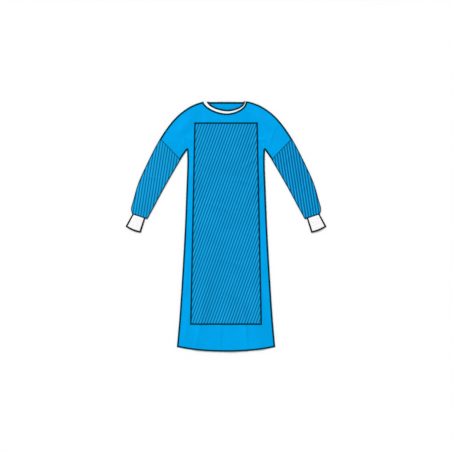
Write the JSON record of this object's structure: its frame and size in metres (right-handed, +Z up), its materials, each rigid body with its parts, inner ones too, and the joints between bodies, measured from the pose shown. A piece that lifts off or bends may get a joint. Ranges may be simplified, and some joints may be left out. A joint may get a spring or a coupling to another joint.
{
  "type": "surgical gown",
  "caption": "Long-sleeved surgical gown laid flat, with a round bound neck, overlapping back, reinforced front panel and lower sleeves, and ribbed knitted cuffs.",
  "frame": {"origin": "centre of the laid garment's outline, on the surface that it rests on", "axes": "+Y from the hem to the neck, +X to the wearer's left, +Z up from the surface, out of the front of the gown"},
  "size_m": [1.042, 1.2994, 0.0113],
  "materials": {
    "gown_cloth": "matt nonwoven cloth with a fine embossed grain",
    "striped_cloth": "coated nonwoven cloth with fine slanting darker lines",
    "white_knit": "ribbed cotton and polyester knit",
    "white_binding": "soft woven band",
    "tie_cloth": "matt nonwoven tape",
    "fastener_tape": "hook and loop tape"
  },
  "bodies": {
    "root": {"front": "gown_cloth", "back_left": "gown_cloth", "back_right": "gown_cloth", "sleeve_left": "striped_cloth", "sleeve_right": "striped_cloth", "front_reinforcement": "striped_cloth", "cuff_left": "white_knit", "cuff_right": "white_knit", "neck_binding": "white_binding", "neck_loop_patch": "fastener_tape", "neck_hook_patch": "fastener_tape", "tie_outer": "tie_cloth", "tie_inner": "tie_cloth"}
  },
  "joints": []
}
